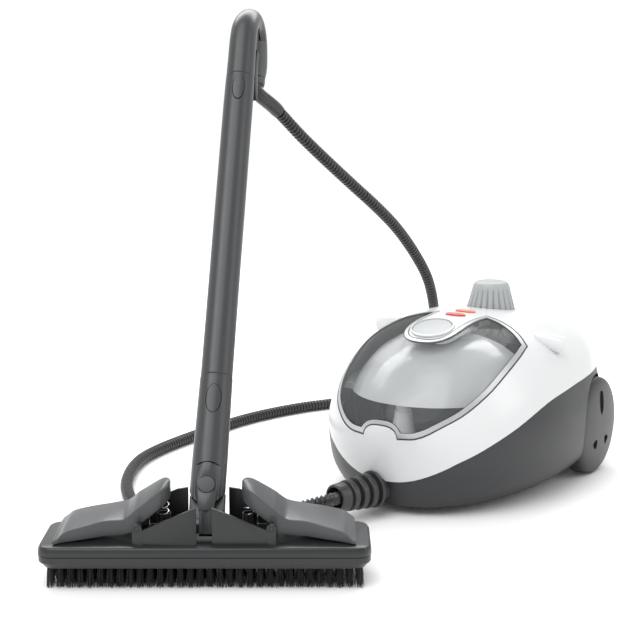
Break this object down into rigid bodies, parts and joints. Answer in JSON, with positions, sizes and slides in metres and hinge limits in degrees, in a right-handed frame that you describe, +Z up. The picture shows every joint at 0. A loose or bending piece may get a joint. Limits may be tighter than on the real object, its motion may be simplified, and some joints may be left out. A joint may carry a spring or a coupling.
{
  "type": "steam cleaner",
  "caption": "Canister steam cleaner with a clear accessory lid, safety cap and wheels, a corrugated hose, and a two-piece lance on a bristled floor brush.",
  "frame": {"origin": "middle of the floor brush's sole, at the bristle tips, where they meet the floor", "axes": "+X right along the brush, +Y back from the brush to the canister, +Z up"},
  "size_m": [0.6222, 0.7289, 0.539],
  "materials": {
    "white_shell": "glossy",
    "grey_base": "satin",
    "lid_band": "metallic paint",
    "smoky_pane": "clear smoky polycarbonate",
    "pale_plastic": "satin",
    "dark_plastic": "satin",
    "black_plastic": "satin",
    "steel": "plain",
    "copper": "plain copper tube",
    "red_lens": "translucent lens",
    "orange_lens": "translucent lens",
    "white_knob": "satin",
    "seal_rubber": "matt",
    "spring_steel": "bright",
    "lance_grey": "satin",
    "grip_grey": "soft satin",
    "bristles": "nylon tufts",
    "hose_black": "corrugated sleeve"
  },
  "bodies": {
    "machine": {"upper_shell": "white_shell", "base_shell": "grey_base", "lid_pin_left": "steel", "lid_pin_right": "steel", "boiler_cover": "pale_plastic", "storage_tray": "dark_plastic", "spare_nozzle": "pale_plastic", "boiler": "steel", "filler_neck": "steel", "heating_plate": "steel", "steam_valve": "black_plastic", "steam_pipe": "copper", "switch_body": "black_plastic", "lens_red": "red_lens", "lens_orange": "orange_lens", "lug_left": "white_shell", "lug_right": "white_shell", "rear_axle": "steel", "hose_gland": "black_plastic", "mains_gland": "black_plastic", "head_top": "lance_grey", "head_sole": "lance_grey", "bristle_block": "bristles", "rear_wall": "black_plastic", "clamp_pin_right": "steel", "clamp_spring_right": "spring_steel", "clamp_pin_left": "steel", "clamp_spring_left": "spring_steel", "pitch_pin": "steel", "hose_floor": "hose_black", "hose_rise": "hose_black"},
    "lid": {"lid_frame": "lid_band", "lid_window": "smoky_pane"},
    "power_button": {"push_button": "pale_plastic"},
    "cap_carrier": {"cap_seal": "seal_rubber"},
    "cap": {"cap_knob": "white_knob", "cap_plug": "dark_plastic", "cap_relief_spring": "spring_steel"},
    "left_wheel": {"wheel_left": "grey_base"},
    "right_wheel": {"wheel_right": "grey_base"},
    "caster": {"caster_fork": "dark_plastic", "caster_pin": "steel"},
    "caster_roller": {"caster_wheel": "black_plastic"},
    "fork": {"yoke": "lance_grey", "swing_pin": "lance_grey"},
    "lance_neck": {"neck": "lance_grey", "neck_seal": "seal_rubber"},
    "neck_catch": {"neck_release": "lance_grey"},
    "lance_tube": {"extension_tube": "lance_grey", "tube_seal": "seal_rubber"},
    "tube_catch": {"tube_release": "lance_grey"},
    "handle": {"handle_shell": "lance_grey", "handle_grip": "grip_grey", "trigger_pin": "steel", "hose_collar": "grip_grey", "hose_relief": "hose_black"},
    "steam_trigger": {"trigger": "dark_plastic"},
    "right_clamp": {"clamp_right": "lance_grey"},
    "left_clamp": {"clamp_left": "lance_grey"}
  },
  "joints": [
    {"name": "neck_pitch", "type": "hinge", "parent": "machine", "child": "fork", "pos_m": [0, 0, 0.05], "axis": [1, 0, 0], "range_deg": [-30, 28], "deforming": ["hose_rise"]},
    {"name": "neck_swing", "type": "hinge", "parent": "fork", "child": "lance_neck", "pos_m": [0, 0.01855, 0.07968], "axis": [0, 0.848, -0.5299], "range_deg": [-15, 11], "deforming": ["hose_rise"]},
    {"name": "tube_pull", "type": "slide", "parent": "lance_neck", "child": "lance_tube", "axis": [0.0488, 0.5293, 0.847], "range_m": [0, 0.05], "deforming": ["hose_rise"]},
    {"name": "handle_pull", "type": "slide", "parent": "lance_tube", "child": "handle", "axis": [0.0488, 0.5293, 0.847], "range_m": [0, 0.045], "deforming": ["hose_rise"]},
    {"name": "neck_catch_press", "type": "slide", "parent": "lance_neck", "child": "neck_catch", "axis": [0, 0.848, -0.5299], "range_m": [0, 0.002], "stiffness_N_per_m": 900},
    {"name": "tube_catch_press", "type": "slide", "parent": "lance_tube", "child": "tube_catch", "axis": [0, 0.848, -0.5299], "range_m": [0, 0.002], "stiffness_N_per_m": 900},
    {"name": "trigger_pull", "type": "hinge", "parent": "handle", "child": "steam_trigger", "pos_m": [0.03283, 0.3258, 0.51623], "axis": [0.9732, -0.216, 0.0788], "range_deg": [0, 4], "stiffness_Nm_per_rad": 3},
    {"name": "lid_open", "type": "hinge", "parent": "machine", "child": "lid", "pos_m": [0.25993, 0.30887, 0.1885], "axis": [-0.8387, 0.5446, 0], "range_deg": [0, 50]},
    {"name": "power_press", "type": "slide", "parent": "machine", "child": "power_button", "axis": [0.1323, 0.2037, -0.97], "range_m": [0, 0.003], "stiffness_N_per_m": 900},
    {"name": "cap_rise", "type": "slide", "parent": "machine", "child": "cap_carrier", "axis": [0, 0, 1], "range_m": [0, 0.009]},
    {"name": "cap_turn", "type": "hinge", "parent": "cap_carrier", "child": "cap", "pos_m": [0.31439, 0.39274, 0.1893], "axis": [0, 0, 1], "range_deg": [0, 1080]},
    {"name": "wheel_left_spin", "type": "hinge", "parent": "machine", "child": "left_wheel", "pos_m": [0.32801, 0.41371, 0.0575], "axis": [0.8387, -0.5446, 0], "continuous": true},
    {"name": "wheel_right_spin", "type": "hinge", "parent": "machine", "child": "right_wheel", "pos_m": [0.32801, 0.41371, 0.0575], "axis": [0.8387, -0.5446, 0], "continuous": true},
    {"name": "caster_swivel", "type": "hinge", "parent": "machine", "child": "caster", "pos_m": [0.21037, 0.23255, 0.0262], "axis": [0, 0, 1], "continuous": true},
    {"name": "caster_spin", "type": "hinge", "parent": "caster", "child": "caster_roller", "pos_m": [0.21418, 0.23842, 0.0105], "axis": [0.8387, -0.5446, 0], "continuous": true},
    {"name": "clamp_right_press", "type": "hinge", "parent": "machine", "child": "right_clamp", "pos_m": [0.062, 0, 0.0565], "axis": [0, -1, 0], "range_deg": [0, 15], "stiffness_Nm_per_rad": 2, "deforming": ["clamp_spring_right"]},
    {"name": "clamp_left_press", "type": "hinge", "parent": "machine", "child": "left_clamp", "pos_m": [-0.062, 0, 0.0565], "axis": [0, 1, 0], "range_deg": [0, 15], "stiffness_Nm_per_rad": 2, "deforming": ["clamp_spring_left"]}
  ],
  "couplings": [
    {"joint": "cap_rise", "follows": "cap_turn", "m_per_rad": 0.00047746}
  ]
}
